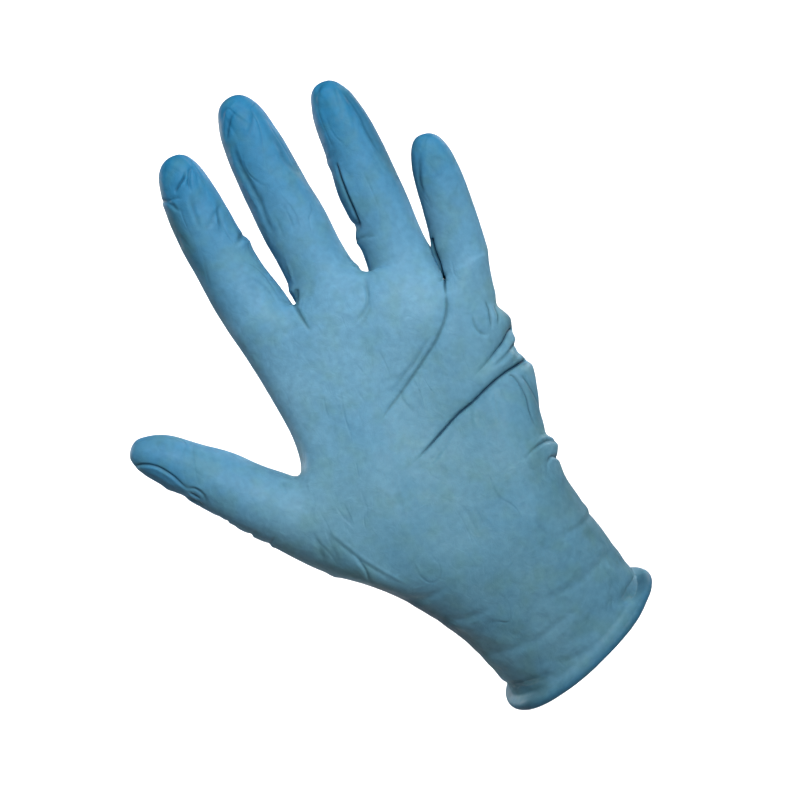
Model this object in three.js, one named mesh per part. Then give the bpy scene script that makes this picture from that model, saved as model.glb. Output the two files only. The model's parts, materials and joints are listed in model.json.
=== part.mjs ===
// A disposable nitrile examination glove in the form that a spread left hand gives it.
// It is one dipped film: cuff, palm, thumb and four fingers are a single thin wall, open at
// the wrist, and the film's end is rolled outwards into a bead round the cuff's rim.
//
// Frame: the centre of the cuff's rim is the origin, the fingers point along +Z, the thumb
// lies towards -X and the palm faces -Y. Lengths are millimetres and angles are degrees.
//
// The outer surface is a smooth (Catmull-Clark) surface that passes through named sections.
// The film lies between that surface and a second one just inside it, and the bead joins them.
// The film is parted at the roots of the thumb and the fingers, so each solid is a plain hollow
// form. The parts meet there face to face, with nothing between them.
import * as THREE from "three";

// The film and its rolled rim
const FILM = 1.0;
const BEAD_DIAMETER = 4.4;
const BEAD_STEPS = 7;

// The cuff: a flattened tube that leans to the little finger's side and back from the palm
const CUFF_LENGTH = 53;
const CUFF_WIDTH = 63;
const CUFF_DEPTH = 43;
const CUFF_LEAN = 20;
const CUFF_RECLINE = 19;
const CUFF_DIP = 0.6;
const WRIST_LEAN = 14;

// The palm: from the wrist up to the webs between the fingers
const PALM_LENGTH = 101;
const PALM_WIDTH = 90;
const PALM_DEPTH = 31;
const PALM_SHIFT = -3.7;

// The fingers: a lean is from +Z towards +X, a bow is how far the middle stands off the
// straight line towards +X, and a curl is how far the tip comes forward. "root" is a share of
// the width at the web, and it fades out by ROOT_LENGTH of the finger's own length.
const FINGERS = {
  index: { length: 68.5, width: 21.9, root: 1.07, depth: 18.5, lean: -5.2, bow: -2.2, curl: 9 },
  middle: { length: 77.5, width: 23.2, root: 0.95, depth: 19, lean: -3.4, bow: -0.8, curl: 10 },
  ring: { length: 76, width: 21.4, root: 1.02, depth: 18, lean: 0.8, bow: 1.5, curl: 9 },
  little: { length: 50.5, width: 18.0, root: 0.975, depth: 16, lean: 5.8, bow: 0.6, curl: 12 },
};
const ROOT_LENGTH = 0.4;

// The thumb: its angle is between +Z and its own axis
const THUMB_LENGTH = 78;
const THUMB_WIDTH = 24;
const THUMB_DEPTH = 21;
const THUMB_ANGLE = 45.5;
const THUMB_FORWARD = 9;

// Sections of the cuff from the rim up to the wrist: "along" is a share of the cuff's length,
// "width" and "shift" are shares of its width, and "depth" is a share of its depth.
const CUFF_SECTIONS = [
  { along: 0.036, width: 1.0, depth: 1.0, shift: 0.0 },
  { along: 0.12, width: 0.985, depth: 0.97, shift: 0.008 },
  { along: 0.28, width: 0.99, depth: 0.97, shift: 0.02 },
  { along: 0.46, width: 1.0, depth: 0.97, shift: 0.03 },
  { along: 0.64, width: 1.03, depth: 0.98, shift: 0.032 },
  { along: 0.82, width: 1.08, depth: 0.97, shift: 0.028 },
  { along: 1.0, width: 1.15, depth: 0.94, shift: 0.018 },
];

// Sections of the palm from just above the wrist to just under the webs: "along" is a share of
// the way between the two. "radial" and "ulnar" are how far a section reaches to the thumb's
// and the little finger's side of the palm's middle, as shares of its width. "front" and
// "back" are shares of its depth, and "edge" is the share of them left at the thumb's side.
const PALM_SECTIONS = [
  { along: 0.1, radial: 0.445, ulnar: 0.447, front: 0.62, back: 0.6, edge: 0.68 },
  { along: 0.205, radial: 0.49, ulnar: 0.447, front: 0.62, back: 0.57, edge: 0.78 },
  { along: 0.31, radial: 0.515, ulnar: 0.46, front: 0.6, back: 0.55, edge: 0.8 },
  { along: 0.415, radial: 0.525, ulnar: 0.478, front: 0.57, back: 0.53, edge: 0.78 },
  { along: 0.52, radial: 0.51, ulnar: 0.481, front: 0.53, back: 0.52, edge: 0.66 },
  { along: 0.61, radial: 0.483, ulnar: 0.476, front: 0.5, back: 0.5, edge: 0.54 },
  { along: 0.7, radial: 0.487, ulnar: 0.479, front: 0.49, back: 0.49, edge: 0.5 },
  { along: 0.8, radial: 0.5, ulnar: 0.479, front: 0.47, back: 0.47, edge: 0.5 },
  { along: 0.9, radial: 0.515, ulnar: 0.49, front: 0.44, back: 0.44, edge: 0.52 },
];
const THUMB_SECTION_FROM = 0;
const THUMB_SECTION_TO = 4;

// The top of the palm, column by column from the thumb's side: each even column is a web or an
// outer side and each odd one the middle of a finger. "across" is a share of the palm's width
// from its middle and "along" a share of its length. "middle" is how far back a column's middle
// stands, and "front" and "back" how thick it is either way, all as shares of the palm's depth.
const KNUCKLES = [
  { across: -0.532, along: 0.985, middle: -0.04, front: 0.24, back: 0.24 },
  { across: -0.4, along: 0.99, middle: -0.02, front: 0.38, back: 0.38 },
  { across: -0.26, along: 1.007, middle: 0.0, front: 0.3, back: 0.28 },
  { across: -0.11, along: 1.03, middle: 0.0, front: 0.4, back: 0.39 },
  { across: 0.044, along: 1.017, middle: -0.01, front: 0.3, back: 0.28 },
  { across: 0.178, along: 0.975, middle: -0.03, front: 0.39, back: 0.38 },
  { across: 0.315, along: 0.87, middle: -0.08, front: 0.29, back: 0.27 },
  { across: 0.415, along: 0.875, middle: -0.13, front: 0.32, back: 0.33 },
  { across: 0.51, along: 0.89, middle: -0.16, front: 0.2, back: 0.2 },
];
const WEB_FRONT_RISE = 0.015;
const WEB_BACK_DROP = 0.03;
const KNUCKLE_CORNER = 0.965;

// Soft mounds and hollows of the palm's front: places and spreads are shares of the palm's
// width and length, and "rise" is a share of its depth.
const MOUNDS = [
  { across: -0.36, along: 0.24, wide: 0.2, long: 0.24, rise: 0.2 },
  { across: 0.33, along: 0.3, wide: 0.16, long: 0.26, rise: 0.07 },
  { across: 0.02, along: 0.5, wide: 0.2, long: 0.24, rise: -0.1 },
  { across: 0.1, along: 0.86, wide: 0.34, long: 0.09, rise: 0.05 },
];

// Sections of a finger from its web to its tip, as shares of its length, width and depth
const FINGER_SECTIONS = [
  { along: 0.11, width: 1.09, depth: 1.14 },
  { along: 0.25, width: 1.06, depth: 1.07 },
  { along: 0.42, width: 1.03, depth: 1.02 },
  { along: 0.6, width: 0.99, depth: 0.97 },
  { along: 0.76, width: 0.92, depth: 0.87 },
  { along: 0.89, width: 0.75, depth: 0.69 },
  { along: 0.97, width: 0.46, depth: 0.42 },
];

// Sections of the thumb from the palm's side to its tip: "turn" is how much of the thumb's
// angle a section has taken up, and "drift" is a sideways share of its width.
const THUMB_SECTIONS = [
  { along: 0.14, width: 1.56, depth: 1.3, turn: 0.08, drift: -0.1 },
  { along: 0.34, width: 1.18, depth: 1.16, turn: 0.42, drift: -0.05 },
  { along: 0.52, width: 0.97, depth: 1.02, turn: 0.75, drift: 0.01 },
  { along: 0.68, width: 0.83, depth: 0.95, turn: 0.95, drift: 0.05 },
  { along: 0.81, width: 0.75, depth: 0.84, turn: 1.0, drift: 0.08 },
  { along: 0.91, width: 0.62, depth: 0.7, turn: 1.0, drift: 0.08 },
  { along: 0.975, width: 0.36, depth: 0.42, turn: 1.0, drift: 0.06 },
];

// Folds pressed into the palm's front, each from one place to another: places are shares of
// the palm's width and length, and "wide" and "deep" are shares of its depth.
const FOLDS = [
  { from: { across: 0.5, along: 0.52 }, to: { across: -0.1, along: 0.35 }, wide: 0.12, deep: 0.07 },
  { from: { across: 0.5, along: 0.64 }, to: { across: 0.3, along: 0.55 }, wide: 0.11, deep: 0.05 },
  { from: { across: 0.27, along: 0.76 }, to: { across: -0.15, along: 0.51 }, wide: 0.13, deep: 0.03 },
];

// Gathers on the little finger's side, where the hand bends over and the film bunches up:
// "along" and "long" are shares of the palm's length, and "rise" is a share of its depth.
const GATHERS = [
  { along: 0.65, long: 0.06, rise: 0.04 },
  { along: 0.47, long: 0.06, rise: 0.04 },
  { along: 0.2, long: 0.04, rise: 0.05 },
];

const RIM_OVAL_POWER = 2.0;
const PALM_OVAL_POWER = 2.3;
const OUTER_COLUMN = 0.93;
const FIT_ROUNDS = 8;

const radians = THREE.MathUtils.degToRad;
const mix = THREE.MathUtils.lerp;
const bell = (x) => Math.exp(-x * x);

function middleOf(places) {
  return places.reduce((sum, place) => sum.add(place), new THREE.Vector3()).divideScalar(places.length);
}

// The three directions of a section that leans to the side and reclines backwards
function sectionAxes(lean, recline) {
  const a = radians(lean);
  const b = radians(recline);
  const across = new THREE.Vector3(Math.cos(a), 0, Math.sin(a));
  const along = new THREE.Vector3(-Math.sin(a) * Math.cos(b), -Math.sin(b), Math.cos(a) * Math.cos(b));
  return { across, along, back: along.clone().cross(across) };
}

const cuffAxes = sectionAxes(CUFF_LEAN, CUFF_RECLINE);
const wristCentre = cuffAxes.along.clone().multiplyScalar(CUFF_LENGTH);
const palmMiddle = new THREE.Vector3(wristCentre.x + PALM_SHIFT, wristCentre.y, wristCentre.z);

// The palm's point for shares of its width, its length and its depth
function palmPoint(across, along, depth) {
  const offset = new THREE.Vector3(PALM_WIDTH * across, PALM_DEPTH * depth, PALM_LENGTH * along);
  return offset.add(palmMiddle);
}

// The cage: points that the finished surface passes through, quads over them, and the region
// of the film that each quad belongs to
const CUFF_AND_PALM = "cuff_and_palm";
const THUMB = "thumb";
const points = [];
const quads = [];
const regions = [];

function addPoint(place) {
  points.push(place);
  return points.length - 1;
}

function addQuad(region, corners) {
  quads.push(corners);
  regions.push(region);
}

// One ring round the cuff or the palm: columns across the front and the back, and two sides
function addRing(frontPlaces, ulnarPlace, backPlaces, radialPlace) {
  const front = frontPlaces.map(addPoint);
  const ulnar = addPoint(ulnarPlace);
  const back = backPlaces.map(addPoint);
  const radial = radialPlace ? addPoint(radialPlace) : null;
  return { front, ulnar, back, radial, loop: [radial, ...front, ulnar, ...back.slice().reverse()] };
}

// How far a column stands from the middle, as a share of the reach to the outer side
function columnReach(column) {
  const middle = (KNUCKLES.length - 1) / 2;
  return ((column - middle) / middle) * OUTER_COLUMN;
}

function ovalHeight(reach, power = PALM_OVAL_POWER) {
  return Math.pow(1 - Math.pow(Math.abs(reach), power), 1 / power);
}

// A cuff section turns from the cuff's lean to the wrist's, and its front hangs a little lower
function addCuffRing(section) {
  const bent = section.along ** 2;
  const axes = sectionAxes(mix(CUFF_LEAN, WRIST_LEAN, bent), CUFF_RECLINE * (1 - 0.5 * bent));
  const centre = cuffAxes.along.clone().multiplyScalar(CUFF_LENGTH * section.along);
  const at = (reach, facing) => {
    const height = facing * ovalHeight(reach, mix(RIM_OVAL_POWER, PALM_OVAL_POWER, section.along));
    return centre
      .clone()
      .addScaledVector(axes.across, CUFF_WIDTH * (section.shift + (section.width * reach) / 2))
      .addScaledVector(axes.back, (CUFF_DEPTH * section.depth * height) / 2)
      .addScaledVector(axes.along, CUFF_DIP * (1 - section.along) * height);
  };
  const reaches = KNUCKLES.map((_, column) => columnReach(column));
  const front = reaches.map((reach) => at(reach, -1));
  const back = reaches.map((reach) => at(reach, 1));
  return addRing(front, at(1, 1), back, at(-1, 1));
}

function moundRise(across, along) {
  return MOUNDS.reduce((sum, mound) => {
    const beside = bell((across - mound.across) / mound.wide);
    return sum + mound.rise * beside * bell((along - mound.along) / mound.long);
  }, 0);
}

function addKnuckleRing() {
  const ends = [0, KNUCKLES.length - 1];
  const across = (k, column) => k.across * (ends.includes(column) ? KNUCKLE_CORNER : 1);
  const front = KNUCKLES.map((k, i) => palmPoint(across(k, i), k.along + WEB_FRONT_RISE, k.middle - k.front));
  const back = KNUCKLES.map((k, i) => palmPoint(across(k, i), k.along - WEB_BACK_DROP, k.middle + k.back));
  const [radial, ulnar] = ends.map((end) => KNUCKLES[end]).map((k) => palmPoint(k.across, k.along, k.middle));
  return addRing(front, ulnar, back, radial);
}

// A palm section stands part of the way up between the wrist's ring and the knuckles' ring
function addPalmRing(section, wrist, knuckles, besideThumb) {
  const at = (reach, depth, column, low, high) => {
    const across = mix(-section.radial, section.ulnar, (reach + 1) / 2);
    const bulge = depth < 0 ? -moundRise(across, section.along) : 0;
    const place = palmPoint(across, 0, depth + bulge + KNUCKLES[column].middle * section.along ** 2);
    place.z = mix(points[low].z, points[high].z, section.along);
    return place;
  };
  const last = KNUCKLES.length - 1;
  const columns = (side, depth) =>
    wrist[side].map((low, i) => {
      const reach = columnReach(i);
      const oval = i === 0 ? section.edge : ovalHeight(reach);
      return at(reach, depth * oval, i, low, knuckles[side][i]);
    });
  const ulnar = at(1, 0, last, wrist.ulnar, knuckles.ulnar);
  const radial = besideThumb ? null : at(-1, 0, 0, wrist.radial, knuckles.radial);
  return addRing(columns("front", -section.front), ulnar, columns("back", section.back), radial);
}

// Quads from a low loop up to a high one, both going round anticlockwise as seen from above
function bridge(region, low, high, isOpen = () => false) {
  low.forEach((corner, i) => {
    const next = (i + 1) % low.length;
    if (!isOpen(i)) addQuad(region, [corner, low[next], high[next], high[i]]);
  });
}

function closeTip(region, loop, tip) {
  const middle = addPoint(tip);
  for (let i = 0; i < loop.length; i += 2) {
    addQuad(region, [middle, loop[i], loop[i + 1], loop[(i + 2) % loop.length]]);
  }
}

// A finger rises from its loop of eight points: web, front, web and back
function addFinger(region, finger, base) {
  const centre = middleOf([points[base[0]], points[base[4]]]);
  const { across } = sectionAxes(-finger.lean, 0);
  const spine = (share) => {
    const place = centre.clone();
    place.x += Math.tan(radians(finger.lean)) * finger.length * share;
    place.x += 4 * finger.bow * share * (1 - share);
    place.y -= finger.curl * Math.pow(share, 1.5);
    place.z += finger.length * share;
    return place;
  };
  let low = base;
  for (const section of FINGER_SECTIONS) {
    const slope = 1.5 * Math.sqrt(section.along) * (finger.curl / finger.length);
    const back = new THREE.Vector3(0, 1, slope);
    const rooted = mix(finger.root, 1, Math.min(section.along / ROOT_LENGTH, 1));
    const width = finger.width * section.width * rooted;
    const high = base.map((_, i) => {
      const angle = ((i - 4) / base.length) * 2 * Math.PI;
      const place = spine(section.along);
      place.addScaledVector(across, (width * Math.cos(angle)) / 2);
      place.addScaledVector(back, (finger.depth * section.depth * Math.sin(angle)) / 2);
      return addPoint(place);
    });
    bridge(region, low, high);
    low = high;
  }
  closeTip(region, low, spine(1));
}

// The thumb rises from the edge of the opening left for it in the palm's side
function addThumb(rings) {
  const front = rings.map((ring) => ring.front[0]);
  const back = rings.map((ring) => ring.back[0]).reverse();
  const base = [...front, rings[rings.length - 1].radial, ...back, rings[0].radial];
  const centre = middleOf(base.map((i) => points[i]));
  const { across, along } = sectionAxes(THUMB_ANGLE, 0);
  const spine = (share, drift) => {
    const place = centre.clone();
    place.addScaledVector(along, THUMB_LENGTH * share);
    place.addScaledVector(across, THUMB_WIDTH * drift);
    place.y -= THUMB_FORWARD * share;
    return place;
  };
  let low = base;
  for (const section of THUMB_SECTIONS) {
    const up = sectionAxes(mix(90, THUMB_ANGLE, section.turn), 0).across;
    const high = base.map((_, i) => {
      const angle = ((i - (front.length - 1) / 2) / base.length) * 2 * Math.PI;
      const place = spine(section.along, section.drift);
      place.addScaledVector(up, (THUMB_WIDTH * section.width * Math.sin(angle)) / 2);
      place.y -= (THUMB_DEPTH * section.depth * Math.cos(angle)) / 2;
      return addPoint(place);
    });
    bridge(THUMB, low, high);
    low = high;
  }
  closeTip(THUMB, low, spine(1, THUMB_SECTIONS[THUMB_SECTIONS.length - 1].drift));
}

const cuffRings = CUFF_SECTIONS.map(addCuffRing);
const wristRing = cuffRings[cuffRings.length - 1];
const knuckleRing = addKnuckleRing();
const palmRings = PALM_SECTIONS.map((section, i) => {
  const besideThumb = i > THUMB_SECTION_FROM && i < THUMB_SECTION_TO;
  return addPalmRing(section, wristRing, knuckleRing, besideThumb);
});
const thumbRings = palmRings.slice(THUMB_SECTION_FROM, THUMB_SECTION_TO + 1);
const allRings = [...cuffRings, ...palmRings, knuckleRing];
allRings.slice(1).forEach((ring, i) => {
  const below = allRings[i];
  const besideThumb = thumbRings.includes(below) && thumbRings.includes(ring);
  const last = ring.loop.length - 1;
  bridge(CUFF_AND_PALM, below.loop, ring.loop, (column) => besideThumb && (column === 0 || column === last));
});
addThumb(thumbRings);

const innerWebs = KNUCKLES.map((k, column) => {
  const isWeb = column % 2 === 0 && column > 0 && column < KNUCKLES.length - 1;
  return isWeb ? addPoint(palmPoint(k.across, k.along, k.middle)) : null;
});
innerWebs[0] = knuckleRing.radial;
innerWebs[KNUCKLES.length - 1] = knuckleRing.ulnar;
Object.entries(FINGERS).forEach(([name, finger], i) => {
  const left = 2 * i;
  const { front, back } = knuckleRing;
  const overFront = [front[left], front[left + 1], front[left + 2]];
  const overBack = [back[left + 2], back[left + 1], back[left]];
  addFinger(`${name}_finger`, finger, [innerWebs[left], ...overFront, innerWebs[left + 2], ...overBack]);
});

// The edges of a net of quads, each with its ends and the quads beside it
function findEdges(net) {
  const edges = new Map();
  net.forEach((quad, face) => {
    quad.forEach((from, i) => {
      const to = quad[(i + 1) % 4];
      const key = from < to ? `${from}_${to}` : `${to}_${from}`;
      if (!edges.has(key)) edges.set(key, { ends: [from, to], faces: [] });
      edges.get(key).faces.push(face);
    });
  });
  return edges;
}

// One Catmull-Clark step: the old points move first, then come edge points and quad centres
function subdivide(places, net) {
  const centres = net.map((quad) => middleOf(quad.map((i) => places[i])));
  const edges = [...findEdges(net)];
  const around = places.map(() => ({ centres: [], middles: [], rim: [] }));
  net.forEach((quad, face) => quad.forEach((i) => around[i].centres.push(centres[face])));
  const edgeIndex = new Map();
  const edgePlaces = edges.map(([key, edge], i) => {
    const ends = edge.ends.map((end) => places[end]);
    const middle = middleOf(ends);
    edge.ends.forEach((end) => around[end].middles.push(middle));
    if (edge.faces.length === 1) edge.ends.forEach((end) => around[end].rim.push(middle));
    edgeIndex.set(key, places.length + i);
    return edge.faces.length === 1 ? middle : middleOf([...ends, ...edge.faces.map((face) => centres[face])]);
  });
  const moved = places.map((place, i) => {
    const { centres: faces, middles, rim } = around[i];
    if (rim.length > 0) return place.clone().add(middleOf(rim)).multiplyScalar(0.5);
    const n = faces.length;
    const sum = middleOf(faces).addScaledVector(middleOf(middles), 2);
    return sum.addScaledVector(place, n - 3).divideScalar(n);
  });
  const firstCentre = places.length + edgePlaces.length;
  const edgeOf = (a, b) => edgeIndex.get(a < b ? `${a}_${b}` : `${b}_${a}`);
  const fine = net.flatMap((quad, face) =>
    quad.map((corner, i) => {
      const next = quad[(i + 1) % 4];
      const before = quad[(i + 3) % 4];
      return [corner, edgeOf(corner, next), firstCentre + face, edgeOf(before, corner)];
    }),
  );
  return { places: [...moved, ...edgePlaces, ...centres], net: fine };
}

// Moves the cage out until the smooth surface passes through the cage's own places
function fitCage(targets, net) {
  const cage = targets.map((place) => place.clone());
  for (let round = 0; round < FIT_ROUNDS; round += 1) {
    const smooth = subdivide(cage, net).places;
    cage.forEach((place, i) => place.add(targets[i]).sub(smooth[i]));
  }
  return cage;
}

function findNormals(places, net) {
  const normals = places.map(() => new THREE.Vector3());
  net.forEach((quad) => {
    const [a, b, c, d] = quad.map((i) => places[i]);
    const normal = c.clone().sub(a).cross(d.clone().sub(b));
    quad.forEach((i) => normals[i].add(normal));
  });
  return normals.map((normal) => normal.normalize());
}

// How deep a fold is at a place on the palm's front: deepest in its middle, none past its ends
function foldDepth(fold, place) {
  const from = palmPoint(fold.from.across, fold.from.along, 0);
  const run = palmPoint(fold.to.across, fold.to.along, 0).sub(from);
  const offset = place.clone().sub(from);
  run.y = 0;
  offset.y = 0;
  const share = THREE.MathUtils.clamp(offset.dot(run) / run.lengthSq(), 0, 1);
  const distance = offset.addScaledVector(run, -share).length();
  return PALM_DEPTH * fold.deep * (1 - share ** 3) * bell(distance / (PALM_DEPTH * fold.wide));
}

function gatherRise(gather, place) {
  const along = (place.z - palmMiddle.z) / PALM_LENGTH;
  return PALM_DEPTH * gather.rise * bell((along - gather.along) / gather.long);
}

function pressFolds(places, net) {
  const normals = findNormals(places, net);
  return places.map((place, i) => {
    const normal = normals[i];
    const facesFront = THREE.MathUtils.smoothstep(-normal.y, 0, 0.5);
    const facesUlnar = THREE.MathUtils.smoothstep(normal.x, 0.3, 0.9);
    const pressed = FOLDS.reduce((sum, fold) => sum + foldDepth(fold, place), 0) * facesFront;
    const gathered = GATHERS.reduce((sum, gather) => sum + gatherRise(gather, place), 0) * facesUlnar;
    return place.clone().addScaledVector(normal, gathered - pressed);
  });
}

const smooth = subdivide(fitCage(points, quads), quads);
const outer = pressFolds(smooth.places, smooth.net);
const outerNormals = findNormals(outer, smooth.net);
const inner = outer.map((place, i) => place.clone().addScaledVector(outerNormals[i], -FILM));

// The points round the rim, in order
function rimLoop(net) {
  const after = new Map();
  for (const { ends, faces } of findEdges(net).values()) {
    if (faces.length === 1) after.set(ends[0], ends[1]);
  }
  const loop = [after.keys().next().value];
  while (after.get(loop[loop.length - 1]) !== loop[0]) loop.push(after.get(loop[loop.length - 1]));
  return loop;
}

// The bead: a circle that starts on the film's outer side and rolls out, down and in again
const rim = rimLoop(smooth.net);
const beadRadius = BEAD_DIAMETER / 2;
const beadStart = Math.PI - Math.acos((beadRadius - FILM) / beadRadius);
const beadRings = Array.from({ length: BEAD_STEPS }, (_, step) => {
  const angle = mix(beadStart, -Math.PI, (step + 1) / BEAD_STEPS);
  return rim.map((i) => {
    const outwards = outerNormals[i].clone().projectOnPlane(cuffAxes.along).normalize();
    const across = beadRadius - FILM + beadRadius * Math.cos(angle);
    const along = beadRadius * (Math.sin(angle) - Math.sin(beadStart));
    return outer[i].clone().addScaledVector(outwards, across).addScaledVector(cuffAxes.along, along);
  });
});

// The film's places: the outer side, the inner side and the bead. The bead's rows of quads go
// from the outer side's rim round to the inner side's.
const filmPlaces = [...outer, ...inner, ...beadRings.flat()];
const innerOf = (i) => outer.length + i;
const beadRows = [
  rim,
  ...beadRings.map((_, step) => rim.map((__, i) => 2 * outer.length + step * rim.length + i)),
  rim.map(innerOf),
];
const beadQuads = beadRows.slice(1).flatMap((row, step) => {
  const before = beadRows[step];
  return before.map((corner, i) => {
    const next = (i + 1) % rim.length;
    return [before[next], corner, row[i], row[next]];
  });
});

// One region's closed solid: its outer side, its inner side turned round, and between them the
// bead at the rim and a cut face wherever the film goes on into another region
function regionQuads(region) {
  const outside = smooth.net.filter((_, face) => regions[Math.floor(face / 4)] === region);
  const inside = outside.map((quad) => quad.map(innerOf).reverse());
  const borders = [...findEdges(outside).values()].filter((edge) => edge.faces.length === 1);
  const cuts = borders.filter((edge) => !edge.ends.every((end) => rim.includes(end)));
  const cutFaces = cuts.map(({ ends: [from, to] }) => [to, from, innerOf(from), innerOf(to)]);
  return [...outside, ...inside, ...cutFaces, ...(region === CUFF_AND_PALM ? beadQuads : [])];
}

function toGeometry(net) {
  const used = [...new Set(net.flat())];
  const places = used.map((i) => filmPlaces[i]);
  const indexOf = new Map(used.map((i, index) => [i, index]));
  const geometry = new THREE.BufferGeometry().setFromPoints(places);
  geometry.setIndex(
    net.flatMap((quad) => {
      const [a, b, c, d] = quad.map((i) => indexOf.get(i));
      const splitAC = places[a].distanceTo(places[c]) < places[b].distanceTo(places[d]);
      return splitAC ? [a, b, c, a, c, d] : [a, b, d, b, c, d];
    }),
  );
  geometry.computeVertexNormals();
  return geometry;
}

const part = new THREE.Group();
part.name = "nitrile_glove";
for (const region of new Set(regions)) {
  const nitrile = new THREE.MeshStandardMaterial({ color: 0x5f9dbd, roughness: 0.5, metalness: 0 });
  const film = new THREE.Mesh(toGeometry(regionQuads(region)), nitrile);
  film.name = region;
  part.add(film);
}
export default part;
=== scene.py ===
"""A disposable nitrile examination glove, worn: the dipped film with its folds and wrinkles,
the rolled edge of its cuff, and the studio round it. The glove's own lengths are in
millimetres, and those of its finish and of the studio in metres."""
import json
import math

import bpy
import numpy as np
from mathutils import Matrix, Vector, noise

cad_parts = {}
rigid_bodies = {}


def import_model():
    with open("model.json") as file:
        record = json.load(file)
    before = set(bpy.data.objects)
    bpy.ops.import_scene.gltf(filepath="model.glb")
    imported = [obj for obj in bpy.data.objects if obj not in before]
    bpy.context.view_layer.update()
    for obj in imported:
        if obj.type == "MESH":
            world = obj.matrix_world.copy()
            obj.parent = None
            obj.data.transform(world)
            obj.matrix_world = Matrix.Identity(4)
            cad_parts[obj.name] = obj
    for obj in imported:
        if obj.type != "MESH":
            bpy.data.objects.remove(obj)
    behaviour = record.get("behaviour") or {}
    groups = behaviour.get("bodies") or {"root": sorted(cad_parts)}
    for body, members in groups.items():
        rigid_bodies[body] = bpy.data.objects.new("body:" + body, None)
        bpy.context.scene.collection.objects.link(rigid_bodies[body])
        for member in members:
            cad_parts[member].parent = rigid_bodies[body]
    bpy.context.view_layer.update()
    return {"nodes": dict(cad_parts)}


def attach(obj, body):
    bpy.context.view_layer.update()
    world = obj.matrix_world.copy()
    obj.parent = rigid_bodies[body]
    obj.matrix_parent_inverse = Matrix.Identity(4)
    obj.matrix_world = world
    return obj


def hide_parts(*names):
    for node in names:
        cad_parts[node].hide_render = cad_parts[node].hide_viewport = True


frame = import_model()

# The dipped film
# One seamless sheet of blue nitrile rubber, about 0.1 mm thick: a hand-shaped former is dipped
# in liquid nitrile, dried and stripped. Worn, it is stretched smooth over the palm and hangs
# loose at the fingertips, at the cuff and where the palm bends.
MM = 0.001
MERGE_WITHIN = 0.002
SUBDIVISIONS = 2
CUT_ABOVE_ROLL = 3.8
UNEVEN_HEIGHT = 0.22
CRUMPLE_HEIGHT = 0.5
CRUMPLED_TIPS = 0.45
CRUMPLED_CUFF = 0.8
HEEL_PAINTED_SHADE = 0.15

# The way from the cuff's rim to the hand, how far up it the cuff hangs slack, and between which
# heights the painted shade over the cuff and the heel fades out
CUFF_ALONG = np.array([-0.3234, -0.3256, 0.8885])
CUFF_CRUMPLED_TO = (30, 60)
HEEL_SHADE_FADES = (88, 135)

# Lines fade out between these two as the surface turns away from the palm's side, and no face
# that turns to the back by more than the third gets smaller
TURNED_AWAY = (-0.35, 0.1)
BACK_FACES = 0.3

# In widths of a line: how far it is felt, where its lip stands, and how wide lip and dark are
LINE_REACH = 5
LIP_AT = 2.1
LIP_WIDE = 1.25
DARK_WIDE = 0.8

# Three rounds of finer faces: along which lines, and how far to each side in their widths
FINER_ROUNDS = [
    {"deeper": 0.29, "widest": 1.5, "reach": 2.3},
    {"deeper": 0.44, "widest": 0.8, "reach": 1.3},
    {"deeper": 0.60, "widest": 0.5, "reach": 1.1},
]

# Three creases of the palm have a groove and a wider hollow round it, in the same places
HEART_LINE = [(26, 100.4), (21.7, 99.4), (14.2, 98.2), (6.9, 96.2), (-0.7, 93.6), (-8, 91.5),
              (-14.7, 88.6), (-20, 86.2), (-25.4, 83.8), (-30.6, 81.8)]
UPPER_LINE = [(26, 112.9), (22.9, 111.7), (19, 108.9), (14.8, 106.8), (9.3, 104.1), (4.6, 102),
              (1, 99.8)]
LONG_LINE = [(6.4, 134), (4.4, 127.8), (1.3, 123.2), (-4.2, 118.2), (-9.5, 114.7), (-15.5, 110.9),
             (-22.7, 106.6), (-29.1, 103.1), (-34.4, 99.6), (-39.3, 95.8)]
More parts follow.
